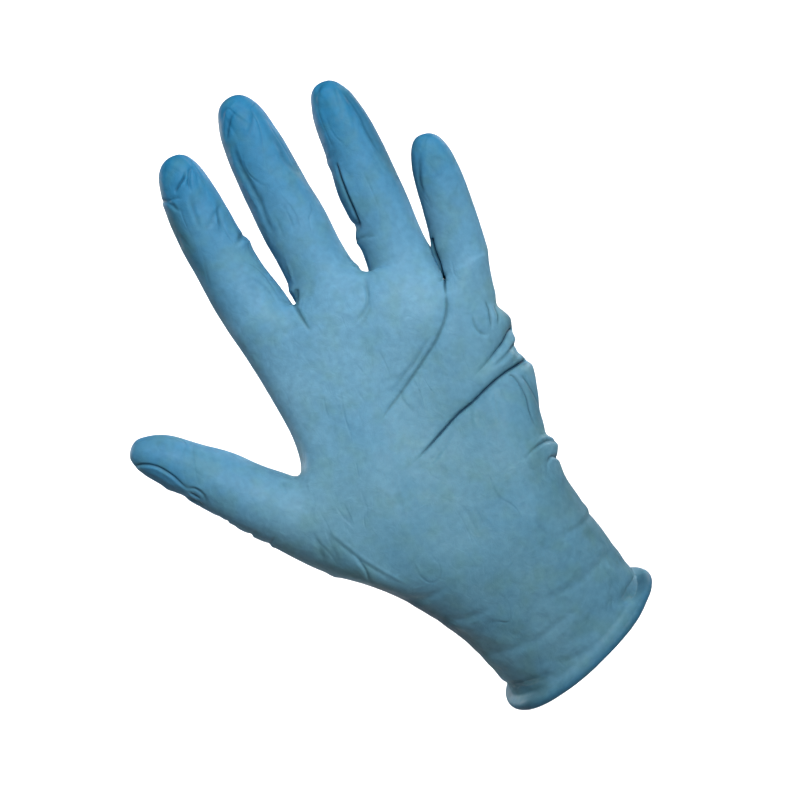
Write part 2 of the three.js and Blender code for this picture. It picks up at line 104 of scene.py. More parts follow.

# Lines pressed into the film, each as (across, up) places from one end to the other. "deep" is
# the groove and "wide" its half width. "lip" is the ridge on its right as the line runs, or on
# its left with a minus sign. "dark" is how dark the film is painted along it: partly the film
# doubled up in a fold, partly painted shade in the groove, and only painted shade where a line
# has no depth, as on the shaded sides, edges and corner. "fade" is the share of the line over
# which it comes in and goes out. A minus depth makes a ridge.
PALM_LINES = [
    {"name": "heart line",
     "deep": 1.1, "wide": 0.5, "lip": 0, "dark": 1, "fade": (0.02, 0.25),
     "places": HEART_LINE},
    {"name": "heart line's hollow",
     "deep": 0.7, "wide": 1.4, "lip": -0.35, "dark": 0.15, "fade": (0.02, 0.7),
     "places": HEART_LINE},
    {"name": "upper line",
     "deep": 0.8, "wide": 0.5, "lip": 0, "dark": 0.85, "fade": (0.02, 0.75),
     "places": UPPER_LINE},
    {"name": "upper line's hollow",
     "deep": 0.8, "wide": 1.6, "lip": -0.3, "dark": 0.2, "fade": (0.02, 0.6),
     "places": UPPER_LINE},
    {"name": "long line",
     "deep": 0.5, "wide": 0.6, "lip": 0, "dark": 0.5, "fade": (0.1, 0.4),
     "places": LONG_LINE},
    {"name": "long line's hollow",
     "deep": 0.55, "wide": 2, "lip": -0.2, "dark": 0.08, "fade": (0.15, 0.4),
     "places": LONG_LINE},
    {"name": "long line's twin",
     "deep": 0.35, "wide": 0.7, "lip": 0.15, "dark": 0.16, "fade": (0.3, 0.4),
     "places": [(-3, 121.6), (-8.4, 118.4), (-13.9, 114.5), (-19.4, 111.6), (-24.5, 108.5),
                (-29.3, 106.3)]},
    {"name": "ring root",
     "deep": 0.5, "wide": 0.8, "lip": 0.1, "dark": 0.2, "fade": (0.2, 0.4),
     "places": [(-17.5, 149), (-19, 143.5), (-21, 139.5), (-25, 136.8), (-30, 135)]},
    {"name": "ring root, second",
     "deep": 0.25, "wide": 0.8, "lip": 0.1, "dark": 0.12, "fade": (0.3, 0.4),
     "places": [(-18, 141.5), (-22, 136.6), (-28, 132.6)]},
    {"name": "middle root, left",
     "deep": 0.5, "wide": 0.6, "lip": 0.2, "dark": 0.6, "fade": (0.1, 0.5),
     "places": [(-44.2, 152), (-43.7, 146.7), (-43.2, 142.5), (-42.4, 138)]},
    {"name": "middle root, inner",
     "deep": 0.15, "wide": 0.9, "lip": 0.05, "dark": 0.15, "fade": (0.3, 0.5),
     "places": [(-34, 158), (-36, 153), (-39.5, 149), (-42, 146)]},
    {"name": "little root",
     "deep": 0.9, "wide": 0.5, "lip": 0.1, "dark": 1, "fade": (0.02, 0.35),
     "places": [(9.8, 152.5), (9.3, 147), (8.3, 139), (6.8, 134.7), (5.2, 130)]},
    {"name": "pad, hook",
     "deep": 0.45, "wide": 0.7, "lip": -0.15, "dark": 0.3, "fade": (0.3, 0.3),
     "places": [(12, 122.2), (10.9, 118.4), (11.5, 115), (14, 112.2)]},
    {"name": "pad, first ripple",
     "deep": 0.5, "wide": 0.6, "lip": 0.2, "dark": 0.4, "fade": (0.3, 0.4),
     "places": [(18, 126), (17.8, 120.7), (16.3, 116), (14.5, 112.5)]},
    {"name": "pad, second ripple",
     "deep": 0.5, "wide": 0.6, "lip": 0.25, "dark": 0.45, "fade": (0.3, 0.4),
     "places": [(20.8, 122.6), (19.9, 117.6), (17.7, 113.8)]},
    {"name": "pad, shaded edge",
     "deep": 0, "wide": 1.8, "lip": 0, "dark": 0.4, "fade": (0.3, 0.3),
     "places": [(22.5, 126), (23, 120), (22.6, 114), (24, 109)]},
    {"name": "hand's shaded edge",
     "deep": 0, "wide": 4.2, "lip": 0, "dark": 0.27, "fade": (0.3, 0.3),
     "places": [(20, 99), (19.4, 92), (18.6, 84), (17.2, 76), (17, 66)]},
    {"name": "hand's edge, ripple",
     "deep": 0.5, "wide": 0.6, "lip": 0.25, "dark": 0.5, "fade": (0.3, 0.4),
     "places": [(24.6, 95), (23.4, 89.6), (22.4, 84), (20.6, 78.6)]},
    {"name": "edge wrinkle, between",
     "deep": 0.7, "wide": 0.8, "lip": -0.4, "dark": 0.4, "fade": (0.1, 0.5),
     "places": [(23.5, 106.8), (18, 104.3), (13, 102.6), (8, 101.4)]},
    {"name": "below the heart line, 1",
     "deep": 0.6, "wide": 0.5, "lip": -0.2, "dark": 0.6, "fade": (0.05, 0.5),
     "places": [(14.8, 98), (16.4, 95), (17.2, 91), (17.3, 87), (16.4, 82.8), (16.2, 77.5),
                (16.7, 72.5)]},
    {"name": "below the heart line, 2",
     "deep": 0.45, "wide": 0.6, "lip": 0.2, "dark": 0.5, "fade": (0.15, 0.5),
     "places": [(18.7, 96.2), (20.1, 89.7), (20.4, 83.2), (19.8, 77)]},
    {"name": "below the heart line, 3",
     "deep": 0.3, "wide": 0.8, "lip": 0.2, "dark": 0.22, "fade": (0.2, 0.5),
     "places": [(8.5, 94.9), (6.5, 90.4), (5.5, 83.4), (4.9, 77.2)]},
    {"name": "below the heart line, 4",
     "deep": -0.35, "wide": 0.6, "lip": 0, "dark": 0, "fade": (0.3, 0.5),
     "places": [(-0.6, 91.4), (-2.6, 88.1), (-3.1, 83.5)]},
    {"name": "below the heart line, 5",
     "deep": 0.3, "wide": 0.7, "lip": -0.2, "dark": 0.16, "fade": (0.3, 0.6),
     "places": [(-10, 89), (-15, 84.6), (-21, 80.4), (-28, 77)]},
    {"name": "below the heart line, 6",
     "deep": 0.3, "wide": 0.7, "lip": -0.2, "dark": 0.16, "fade": (0.3, 0.6),
     "places": [(-16, 85), (-21, 81.2), (-27, 79.6), (-33, 79.6)]},
    {"name": "low tuck",
     "deep": 0.75, "wide": 0.6, "lip": 0.3, "dark": 0.5, "fade": (0.05, 0.6),
     "places": [(22.6, 67), (21, 67.9), (18.8, 70), (15.7, 70.3), (10.9, 69.2), (6, 67)]},
    {"name": "low tuck, under",
     "deep": 0.6, "wide": 0.6, "lip": -0.2, "dark": 0.45, "fade": (0.1, 0.6),
     "places": [(21.5, 61.6), (19.5, 63.2), (17.2, 64.6), (14.9, 63.4), (12.6, 59.9)]},
    {"name": "low tuck, down",
     "deep": 0.3, "wide": 0.8, "lip": 0.2, "dark": 0.15, "fade": (0.3, 0.5),
     "places": [(9.6, 68.7), (9.4, 63.5), (10.9, 59.6), (13, 54)]},
]
THUMB_LINES = [
    {"name": "thumb root ridge",
     "deep": -0.32, "wide": 0.5, "lip": 0, "dark": 0, "fade": (0.2, 0.2),
     "places": [(-66.5, 75.3), (-62.8, 68.6), (-58.6, 60.6), (-54.7, 54.5), (-49.2, 46.7),
                (-46, 42)]},
    {"name": "thumb root ridge, under",
     "deep": 0.35, "wide": 0.7, "lip": 0, "dark": 0.2, "fade": (0.3, 0.3),
     "places": [(-66.6, 72.4), (-63.2, 66.4), (-59.4, 59.4), (-55.6, 53.2), (-50.4, 45.6)]},
    {"name": "thumb root groove",
     "deep": 0.5, "wide": 0.5, "lip": 0.2, "dark": 0.5, "fade": (0.2, 0.5),
     "places": [(-60.4, 60.8), (-59.6, 58.4), (-59, 55.4), (-59.5, 51.1), (-60, 48)]},
    {"name": "thumb root, faint",
     "deep": 0.3, "wide": 1, "lip": 0.15, "dark": 0.12, "fade": (0.3, 0.4),
     "places": [(-69.9, 75.1), (-70.9, 67.8), (-72, 60.5)]},
    {"name": "nail edge",
     "deep": 0.6, "wide": 0.5, "lip": 0.25, "dark": 0.5, "fade": (0.12, 0.4),
     "places": [(-119, 121.4), (-115.1, 120.5), (-110.8, 117.7), (-107.4, 112.9), (-105.2, 108),
                (-102.3, 104.5)]},
    {"name": "nail fold",
     "deep": -0.28, "wide": 0.7, "lip": 0, "dark": 0, "fade": (0.3, 0.4),
     "places": [(-117, 118.8), (-112.8, 115.8), (-110.1, 111.9), (-107.6, 107.4)]},
    {"name": "thumb crumple, upper",
     "deep": 0.4, "wide": 0.5, "lip": -0.2, "dark": 0.3, "fade": (0.2, 0.3),
     "places": [(-104.2, 106.4), (-101.9, 105.4), (-100.1, 101.9), (-100.9, 98.4)]},
    {"name": "thumb crumple, lower",
     "deep": 0.4, "wide": 0.5, "lip": 0.2, "dark": 0.3, "fade": (0.2, 0.3),
     "places": [(-106.6, 104.4), (-104.6, 102.4), (-102.8, 100.2), (-102.2, 97.2)]},
    {"name": "thumb crumple, middle",
     "deep": 0.45, "wide": 0.45, "lip": 0.2, "dark": 0.35, "fade": (0.3, 0.3),
     "places": [(-104.6, 105.4), (-103, 103), (-101.6, 100.8)]},
    {"name": "thumb notch",
     "deep": 0.7, "wide": 0.7, "lip": 0.3, "dark": 0.75, "fade": (0.05, 0.4),
     "places": [(-112.5, 109), (-111.2, 107.2), (-110, 105), (-108.8, 102.6)]},
    {"name": "thumb edge, 1",
     "deep": 0.5, "wide": 0.6, "lip": 0.3, "dark": 0.4, "fade": (0.1, 0.6),
     "places": [(-107, 98.4), (-104.6, 98.6), (-102.4, 99.6)]},
    {"name": "thumb edge, 2",
     "deep": 0.5, "wide": 0.6, "lip": 0.3, "dark": 0.15, "fade": (0.1, 0.6),
     "places": [(-100, 90.5), (-97, 90.2), (-94.2, 91.4)]},
    {"name": "thumb edge, 3",
     "deep": 0.5, "wide": 0.6, "lip": 0.3, "dark": 0.15, "fade": (0.1, 0.6),
     "places": [(-94.5, 83), (-91, 82.6), (-87.6, 84)]},
    {"name": "thumb edge, 4",
     "deep": 0.5, "wide": 0.7, "lip": 0.3, "dark": 0.15, "fade": (0.1, 0.6),
     "places": [(-90, 77), (-86.5, 77), (-82, 79)]},
]
FINGER_LINES = [
    {"name": "index, hook",
     "deep": 0.6, "wide": 0.5, "lip": 0.3, "dark": 0.55, "fade": (0.25, 0.35),
     "places": [(-66.9, 202.9), (-64.1, 204.8), (-61.3, 206.7), (-59.6, 209.1)]},
    {"name": "index, arc",
     "deep": 0.45, "wide": 0.6, "lip": -0.2, "dark": 0.3, "fade": (0.25, 0.35),
     "places": [(-56.9, 209.5), (-59.1, 207.3), (-60.8, 203.3), (-61, 200.2)]},
    {"name": "index, across",
     "deep": 0.4, "wide": 0.5, "lip": 0.2, "dark": 0.32, "fade": (0.2, 0.4),
     "places": [(-70.6, 202.2), (-69.2, 201.6), (-66.9, 201.3), (-64.2, 200.1)]},
    {"name": "index, cross",
     "deep": 0.4, "wide": 0.6, "lip": 0.2, "dark": 0.32, "fade": (0.1, 0.4),
     "places": [(-72.6, 203.4), (-70.5, 201.6), (-69.1, 199.5), (-68, 197.3), (-65.6, 196)]},
    {"name": "index, down",
     "deep": 0.5, "wide": 0.8, "lip": 0.25, "dark": 0.3, "fade": (0.3, 0.4),
     "places": [(-53.3, 194.6), (-55.5, 190.4), (-56.2, 186.2), (-57.3, 182.4)]},
    {"name": "index, down left",
     "deep": 0.35, "wide": 0.8, "lip": 0.2, "dark": 0.18, "fade": (0.3, 0.4),
     "places": [(-60.7, 200.1), (-62.5, 196.9), (-63.2, 191.7), (-63.4, 186)]},
    {"name": "index, slanting",
     "deep": 0.35, "wide": 0.7, "lip": -0.2, "dark": 0.2, "fade": (0.3, 0.4),
     "places": [(-55.8, 192.4), (-59.2, 188.4), (-62.3, 186.6)]},
    {"name": "index, side",
     "deep": 0.45, "wide": 0.7, "lip": 0.25, "dark": 0.4, "fade": (0.05, 0.6),
     "places": [(-50.2, 181), (-52.6, 179.6), (-54.6, 177.4)]},
    {"name": "index, shaded side",
     "deep": 0, "wide": 2.2, "lip": 0, "dark": 0.3, "fade": (0.3, 0.4),
     "places": [(-70.5, 205), (-70.6, 196), (-70, 186), (-69, 176), (-67.5, 164)]},
    {"name": "middle, crown ridge",
     "deep": -0.4, "wide": 0.7, "lip": 0, "dark": 0, "fade": (0.3, 0.35),
     "places": [(-41, 217.5), (-38.4, 221), (-35, 223), (-31.8, 223.6)]},
    {"name": "middle, crown groove",
     "deep": 0.5, "wide": 0.6, "lip": 0, "dark": 0.4, "fade": (0.3, 0.4),
     "places": [(-42.4, 212), (-40.4, 216), (-37.4, 219.4), (-34, 221)]},
    {"name": "middle, left",
     "deep": 0.5, "wide": 0.9, "lip": 0.3, "dark": 0.45, "fade": (0.25, 0.35),
     "places": [(-39.9, 211.4), (-41, 207.1), (-41.4, 201.8), (-41.1, 196.9), (-40.6, 191.1),
                (-40.6, 185.6), (-41.2, 180)]},
    {"name": "middle, left lower",
     "deep": 0.35, "wide": 0.8, "lip": 0.2, "dark": 0.2, "fade": (0.3, 0.4),
     "places": [(-38.4, 192), (-40.4, 187), (-41, 181), (-40.2, 174)]},
    {"name": "middle, crown right",
     "deep": 0.3, "wide": 0.7, "lip": 0.2, "dark": 0.2, "fade": (0.3, 0.4),
     "places": [(-29.4, 219), (-31.4, 214.6), (-34, 211.4), (-36.4, 209.6)]},
    {"name": "middle, right",
     "deep": 0.3, "wide": 1.2, "lip": 0.15, "dark": 0.3, "fade": (0.3, 0.4),
     "places": [(-27, 212), (-26.3, 203.7), (-26.3, 198.2), (-24.5, 193.5), (-23, 186)]},
    {"name": "middle, shaded side",
     "deep": 0, "wide": 2, "lip": 0, "dark": 0.25, "fade": (0.3, 0.4),
     "places": [(-25, 210), (-23.8, 200), (-22.4, 190), (-21, 180), (-19.6, 170)]},
    {"name": "middle, base ridge",
     "deep": -0.4, "wide": 0.6, "lip": 0, "dark": 0, "fade": (0.3, 0.3),
     "places": [(-40.4, 166), (-40.8, 161.2), (-41.4, 156.5)]},
    {"name": "middle, base left",
     "deep": 0.5, "wide": 0.6, "lip": 0.2, "dark": 0.4, "fade": (0.1, 0.5),
     "places": [(-40.9, 155.4), (-43, 151.1), (-44.9, 147.2)]},
    {"name": "ring, flap",
     "deep": 0.75, "wide": 0.5, "lip": -0.5, "dark": 0.75, "fade": (0.1, 0.15),
     "places": [(-10.2, 190.4), (-10.6, 185.4), (-10.7, 179.6), (-11.1, 173.8), (-11.6, 169),
                (-12.8, 165.6)]},
    {"name": "ring, below the flap",
     "deep": 0.35, "wide": 0.6, "lip": 0.1, "dark": 0.3, "fade": (0.05, 0.5),
     "places": [(-16, 162.2), (-12.6, 162.4), (-9.6, 161.6), (-6.5, 160.4)]},
    {"name": "ring, across",
     "deep": 0.2, "wide": 0.8, "lip": 0.1, "dark": 0.1, "fade": (0.3, 0.3),
     "places": [(-4.5, 179), (-0.5, 181.2), (4, 180.2)]},
    {"name": "ring, right",
     "deep": 0.5, "wide": 0.9, "lip": -0.2, "dark": 0.45, "fade": (0.2, 0.4),
     "places": [(-0.5, 213), (2.2, 210.2), (3.9, 203.5), (4.2, 195.5), (5, 187.5), (6.4, 180)]},
    {"name": "ring, shaded side",
     "deep": 0, "wide": 2.6, "lip": 0, "dark": 0.35, "fade": (0.2, 0.3),
     "places": [(-0.6, 216), (3.4, 210), (5, 203), (5.8, 195), (6.6, 186), (7.6, 178), (8.2, 170),
                (8.6, 160)]},
    {"name": "ring, crown",
     "deep": 0.3, "wide": 0.8, "lip": 0.2, "dark": 0.2, "fade": (0.3, 0.4),
     "places": [(-9.4, 210), (-7.6, 214), (-4, 216.6), (0, 216)]},
    {"name": "little, left",
     "deep": 0.3, "wide": 0.8, "lip": 0.2, "dark": 0.2, "fade": (0.3, 0.4),
     "places": [(12.4, 165), (13.4, 171), (15.6, 177), (18.4, 182)]},
]
# The lines below with no depth, the shaded sides and the shaded corner, are painted shade only
CUFF_LINES = [
    {"name": "cuff, right dent",
     "deep": 1.2, "wide": 2.2, "lip": 0, "dark": 0.6, "fade": (0.1, 0.6),
     "places": [(33, 13.4), (28, 11.2), (23, 8.8), (18, 6.8), (13, 5.4)]},
    {"name": "cuff, left dent",
     "deep": 0.9, "wide": 2, "lip": 0, "dark": 0.45, "fade": (0.1, 0.6),
     "places": [(-33, -4.5), (-27, -6), (-21, -6.6), (-15, -6.4), (-9, -5.4)]},
    {"name": "cuff, shaded corner",
     "deep": 0, "wide": 3.4, "lip": 0, "dark": 0.55, "fade": (0.2, 0.6),
     "places": [(-32, -3), (-27, -6.5), (-20.5, -9.3), (-14, -10.6), (-8, -10.4)]},
    {"name": "cuff, above the roll",
     "deep": 0.3, "wide": 1.5, "lip": 0, "dark": 0.2, "fade": (0.4, 0.4),
     "places": [(-14, -3), (-8, -3.6), (-2, -3.4), (5, -1.8)]},
    {"name": "cuff, across 1",
     "deep": 0.3, "wide": 1.5, "lip": 0.25, "dark": 0.08, "fade": (0.3, 0.4),
     "places": [(-38, 13), (-26, 8.4), (-12, 8), (2, 12), (14, 17)]},
    {"name": "cuff, across 2",
     "deep": 0.3, "wide": 1.5, "lip": 0.25, "dark": 0.08, "fade": (0.3, 0.4),
     "places": [(26, 27), (16, 22.4), (6, 20), (-4, 19.6), (-12, 21)]},
    {"name": "cuff, across 3",
     "deep": 0.35, "wide": 1.4, "lip": 0.25, "dark": 0.12, "fade": (0.2, 0.5),
     "places": [(-46, 30), (-38, 26), (-28, 24.6), (-18, 26.4)]},
    {"name": "cuff, across 4",
     "deep": 0.35, "wide": 1.3, "lip": 0.25, "dark": 0.12, "fade": (0.1, 0.6),
     "places": [(24, 41), (18, 38.4), (10, 37.6), (2, 39)]},
    {"name": "cuff, slanting",
     "deep": 0.4, "wide": 1.2, "lip": 0.25, "dark": 0.12, "fade": (0.3, 0.5),
     "places": [(-52, 40), (-45, 37.4), (-38, 37.8), (-31, 41)]},
    {"name": "cuff, shaded side",
     "deep": 0, "wide": 4.6, "lip": 0, "dark": 0.9, "fade": (0.25, 0.1),
     "places": [(-68, 56), (-54, 40), (-45, 28), (-38.5, 15.4), (-35.5, 3), (-34, -8)]},
    {"name": "wrist, shaded side",
     "deep": 0, "wide": 11, "lip": 0, "dark": 0.2, "fade": (0.2, 0.3),
     "places": [(-78, 74), (-66, 62), (-56, 48), (-50, 36), (-45, 24)]},
    {"name": "heel, shaded side",
     "deep": 0, "wide": 10, "lip": 0, "dark": 0.24, "fade": (0.3, 0.3),
     "places": [(22, 82), (14, 70), (10, 58), (13, 46), (18, 34)]},
    {"name": "cuff, right shaded side",
     "deep": 0, "wide": 10, "lip": 0, "dark": 0.38, "fade": (0.2, 0.2),
     "places": [(20, 66), (18.6, 56), (21, 44), (24.5, 32), (28.6, 20), (31, 12)]},
]

# Lumps and dips of the outline, where the film stands off the hand or is drawn in. "round" is
# how far each spreads.
EDGE_LUMPS = [
    {"name": "below the little finger", "place": (22.6, 121.5), "rise": -1.1, "round": 2.6},
    {"name": "lobe over the upper line", "place": (24, 115), "rise": 1.1, "round": 3.6},
    {"name": "between the two lines", "place": (21.5, 104.2), "rise": -1.5, "round": 2.2},
    {"name": "lobe under the heart line", "place": (24.5, 97), "rise": 1.0, "round": 5.0},
    {"name": "above the low tuck", "place": (20.5, 72.6), "rise": -0.9, "round": 2.2},
    {"name": "low tuck", "place": (21.6, 68.4), "rise": 1.5, "round": 2.3},
    {"name": "under the low tuck", "place": (19.6, 63), "rise": -0.7, "round": 2.0},
    {"name": "index, right", "place": (-51.8, 177.6), "rise": 1.3, "round": 2.2},
    {"name": "ring, flap", "place": (-13.4, 179), "rise": 1.1, "round": 8.0},
    {"name": "ring, flap's top", "place": (-13.6, 191), "rise": 0.6, "round": 2.0},
    {"name": "ring, under the flap", "place": (-13.2, 167.2), "rise": -1.3, "round": 1.8},
    {"name": "ring, low lump", "place": (-15.2, 162), "rise": 0.9, "round": 2.0},
    {"name": "middle, low left", "place": (-42.6, 155.6), "rise": 0.9, "round": 1.8},
    {"name": "middle, low right", "place": (-19.2, 154), "rise": 0.7, "round": 1.6},
    {"name": "thumb, nail end", "place": (-112.4, 108.2), "rise": 1.2, "round": 2.0},
    {"name": "thumb, edge 1", "place": (-108.6, 104), "rise": -0.6, "round": 1.8},
    {"name": "thumb, edge 2", "place": (-99.6, 91.6), "rise": -0.6, "round": 1.6},
    {"name": "thumb, edge 3", "place": (-94.6, 84.6), "rise": 0.8, "round": 1.7},
    {"name": "thumb, edge 4", "place": (-90.6, 79.2), "rise": 0.7, "round": 1.6},
    {"name": "little finger against the ring finger",
     "place": (9.3, 147.5), "rise": 0.9, "round": 4.5},
    {"name": "little root", "place": (8.6, 140), "rise": 0.6, "round": 3.0},
    {"name": "thumb root, edge", "place": (-71.4, 56.4), "rise": 0.9, "round": 2.0},
]

# Where the film is loosest: the middle of each fingertip, how loose, and how far that reaches
LOOSE_PLACES = [
    {"name": "thumb", "place": (-112, 117), "loose": 0.7, "round": 48},
    {"name": "index", "place": (-63, 213), "loose": 1.0, "round": 76},
    {"name": "middle", "place": (-35, 221), "loose": 1.0, "round": 84},
    {"name": "ring", "place": (-3, 213), "loose": 1.0, "round": 78},
    {"name": "little", "place": (22, 188), "loose": 0.9, "round": 46},
]


def select_only(piece):
    bpy.ops.object.select_all(action="DESELECT")
    piece.select_set(True)
    bpy.context.view_layer.objects.active = piece


def select_inside(piece, kind, chosen):
    """Opens a piece in edit mode with its chosen points, edges or faces selected."""
    select_only(piece)
    bpy.ops.object.mode_set(mode="EDIT")
    bpy.ops.mesh.select_mode(type=kind)
    bpy.ops.mesh.select_all(action="DESELECT")
    bpy.ops.object.mode_set(mode="OBJECT")
    mesh = piece.data
    parts = {"VERT": mesh.vertices, "EDGE": mesh.edges, "FACE": mesh.polygons}[kind]
    parts.foreach_set("select", np.asarray(chosen, bool))
    bpy.ops.object.mode_set(mode="EDIT")


def delete_faces(piece, chosen):
    select_inside(piece, "FACE", chosen)
    bpy.ops.mesh.delete(type="FACE")
    bpy.ops.object.mode_set(mode="OBJECT")


def new_piece(name, mesh):
    piece = bpy.data.objects.new(name, mesh)
    bpy.context.scene.collection.objects.link(piece)
    return piece


def rows_of(parts, what):
    """One row of three numbers for each point or face."""
    rows = np.zeros(len(parts) * 3, np.float32)
    parts.foreach_get(what, rows)
    return rows.reshape(-1, 3).astype(float)


def places_of(piece):
    """The piece's points, in millimetres."""
    return rows_of(piece.data.vertices, "co") / MM


def normals_of(piece):
    return rows_of(piece.data.vertex_normals, "vector")


def face_middles(piece):
    return rows_of(piece.data.polygons, "center") / MM


def put_places(piece, places):
    piece.data.vertices.foreach_set("co", (places * MM).astype(np.float32).ravel())
    piece.data.update()


def note_on_points(piece, **notes):
    """Keeps a number for each point of a piece under each name, for the finish to read."""
    for name, values in notes.items():
        kept = piece.data.attributes
        note = kept[name] if name in kept else kept.new(name, "FLOAT", "POINT")
        note.data.foreach_set("value", values.astype(np.float32))


def rise_between(value, low, high):
    """0 up to the low value, 1 from the high one on, and a smooth rise between them."""
    share = np.clip((value - low) / (high - low), 0, 1)
    return share * share * (3 - 2 * share)


def smooth_line(places, steps=6):
    """A curve through the places, as a row of points close together."""
    knots = np.array([places[0], *places, places[-1]], float)
    knots[0] = 2 * knots[1] - knots[2]
    knots[-1] = 2 * knots[-2] - knots[-3]
    share = np.linspace(0, 1, steps, endpoint=False)[:, None]
    spans = []
    for a, b, c, d in zip(knots, knots[1:], knots[2:], knots[3:]):
        spans.append(0.5 * (2 * b + (c - a) * share + (2 * a - 5 * b + 4 * c - d) * share**2
                            + (3 * b - a - 3 * c + d) * share**3))
    return np.vstack([*spans, knots[-2:-1]])


def beside_line(line, across_up, reach):
    """For each place near a line: which it is, its distance to the right, and its share along."""
    curve = smooth_line(line["places"])
    low, high = curve.min(0) - reach, curve.max(0) + reach
    near = np.where(np.all((across_up > low) & (across_up < high), axis=1))[0]
    best = np.full(len(near), np.inf)
    side = np.zeros(len(near))
    share = np.zeros(len(near))
    steps = np.linalg.norm(np.diff(curve, axis=0), axis=1)
    before = np.concatenate([[0], np.cumsum(steps)])
    for start, end, length, so_far in zip(curve, curve[1:], steps, before):
        run = (end - start) / length
        offset = across_up[near] - start
        along = np.clip(offset @ run, 0, length)
        apart = np.linalg.norm(offset - along[:, None] * run, axis=1)
        closer = apart < best
        best[closer] = apart[closer]
        right = offset[:, 0] * run[1] - offset[:, 1] * run[0]
        side[closer] = np.sign(right[closer]) * apart[closer]
        share[closer] = (so_far + along[closer]) / before[-1]
    return near, side, share


def press_lines(lines, places, normals):
    """How far each point moves out along its normal, and its painted shade and doubled film."""
    moved = np.zeros(len(places))
    doubled = np.zeros(len(places))
    facing = rise_between(-normals[:, 1], *TURNED_AWAY)
    for line in lines:
        wide = line["wide"]
        near, side, share = beside_line(line, places[:, [0, 2]], LINE_REACH * wide)
        fade_in, fade_out = line["fade"]
        strength = rise_between(share, 0, fade_in) * rise_between(1 - share, 0, fade_out)
        strength *= facing[near]
        groove = np.exp(-((side / wide) ** 2))
        lip_at = math.copysign(LIP_AT * wide, line["lip"])
        lip = abs(line["lip"]) * np.exp(-(((side - lip_at) / (LIP_WIDE * wide)) ** 2))
        moved[near] += strength * (lip - line["deep"] * groove)
        dark = strength * line["dark"] * np.exp(-((side / (DARK_WIDE * wide)) ** 2))
        doubled[near] = np.maximum(doubled[near], dark)
    return moved, doubled


def from_spot(places, spot):
    """How far each place is from a spot, seen from the palm's side."""
    return np.linalg.norm(places[:, [0, 2]] - np.array(spot["place"]), axis=1)


def lump_edges(lumps, places):
    moved = np.zeros(len(places))
    for lump in lumps:
        moved += lump["rise"] * np.exp(-((from_spot(places, lump) / lump["round"]) ** 2))
    return moved


def looseness(places):
    """From 0, where the film is stretched, to 1, where it hangs loose."""
    loose = np.zeros(len(places))
    for spot in LOOSE_PLACES:
        near = np.clip(1 - from_spot(places, spot) / spot["round"], 0, 1)
        loose = np.maximum(loose, spot["loose"] * near**1.1)
    return loose


def uneven(places, wave, seed):
    """A soft random height for each place, between about -1 and 1, with waves of that size."""
    shift = Vector((seed * 17.3, seed * 5.1, seed * 9.7))
    return np.array([noise.noise(Vector(place) / wave + shift) for place in places])


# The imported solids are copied, and where two of them meet, their cut faces are taken out
sheets = [new_piece("sheet_" + name, node.data.copy()) for name, node in frame["nodes"].items()]
bpy.ops.object.select_all(action="DESELECT")
for sheet in sheets:
    sheet.select_set(True)
film = sheets[0]
bpy.context.view_layer.objects.active = film
bpy.ops.object.join()
film.name = "film"
grid = np.round(places_of(film) / MERGE_WITHIN).astype(int)
_, spot_of_point = np.unique(grid, axis=0, return_inverse=True)
spot_of_point = spot_of_point.ravel()
corners = np.array([sorted(spot_of_point[list(face.vertices)]) for face in film.data.polygons])
_, kind, copies = np.unique(corners, axis=0, return_inverse=True, return_counts=True)
delete_faces(film, copies[kind.ravel()] > 1)
select_only(film)
bpy.ops.object.mode_set(mode="EDIT")
bpy.ops.mesh.select_all(action="SELECT")
bpy.ops.mesh.remove_doubles(threshold=MERGE_WITHIN * MM)
bpy.ops.mesh.tris_convert_to_quads(face_threshold=math.pi, shape_threshold=math.pi)
bpy.ops.object.mode_set(mode="OBJECT")

# Only the outer side is kept: the rolled edge is cut off, and then what no longer joins the top
packed = places_of(film)
delete_faces(film, face_middles(film) @ CUFF_ALONG < CUT_ABOVE_ROLL)
height = places_of(film)[:, 2]
select_inside(film, "VERT", np.arange(len(height)) == np.argmax(height))
bpy.ops.mesh.select_linked()
bpy.ops.mesh.select_all(action="INVERT")
bpy.ops.mesh.delete(type="VERT")
bpy.ops.object.mode_set(mode="OBJECT")
lining = new_piece("lining", film.data.copy())

select_only(film)
smooth = film.modifiers.new("smooth", "SUBSURF")
smooth.levels = smooth.render_levels = SUBDIVISIONS
bpy.ops.object.modifier_apply(modifier=smooth.name)

# The film gets smaller faces along its lines, and smaller ones again along the sharp ones
ALL_LINES = PALM_LINES + THUMB_LINES + FINGER_LINES + CUFF_LINES
for finer in FINER_ROUNDS:
    middles = face_middles(film)
    near_line = np.zeros(len(middles), bool)
    for line in ALL_LINES:
        if abs(line["deep"]) > finer["deeper"] and line["wide"] <= finer["widest"]:
            reach = finer["reach"] * line["wide"]
            near, side, _ = beside_line(line, middles[:, [0, 2]], reach)
            near_line[near[np.abs(side) < reach]] = True
    not_back = rows_of(film.data.polygons, "normal")[:, 1] < BACK_FACES
    select_inside(film, "FACE", near_line & not_back)
    bpy.ops.mesh.subdivide(number_cuts=1)
    bpy.ops.object.mode_set(mode="OBJECT")

places = places_of(film)
normals = normals_of(film)
loose = looseness(places)
from_rim = places @ CUFF_ALONG
crumpled_cuff = CRUMPLED_CUFF * (1 - rise_between(from_rim, *CUFF_CRUMPLED_TO))
crumpled = np.maximum(CRUMPLED_TIPS * loose, crumpled_cuff)
# Their darkness is partly the film doubled up in the folds and partly painted shade
moved, doubled = press_lines(ALL_LINES, places, normals)
# Painted shade over the cuff and the heel, fading out up the palm
doubled = np.maximum(doubled, HEEL_PAINTED_SHADE * (1 - rise_between(from_rim, *HEEL_SHADE_FADES)))
moved += lump_edges(EDGE_LUMPS, places)
moved += UNEVEN_HEIGHT * uneven(places, wave=11.0, seed=1)
moved += crumpled * CRUMPLE_HEIGHT * uneven(places, wave=6.0, seed=2)
put_places(film, places + moved[:, None] * normals)
note_on_points(film, doubled=doubled, loose=loose)

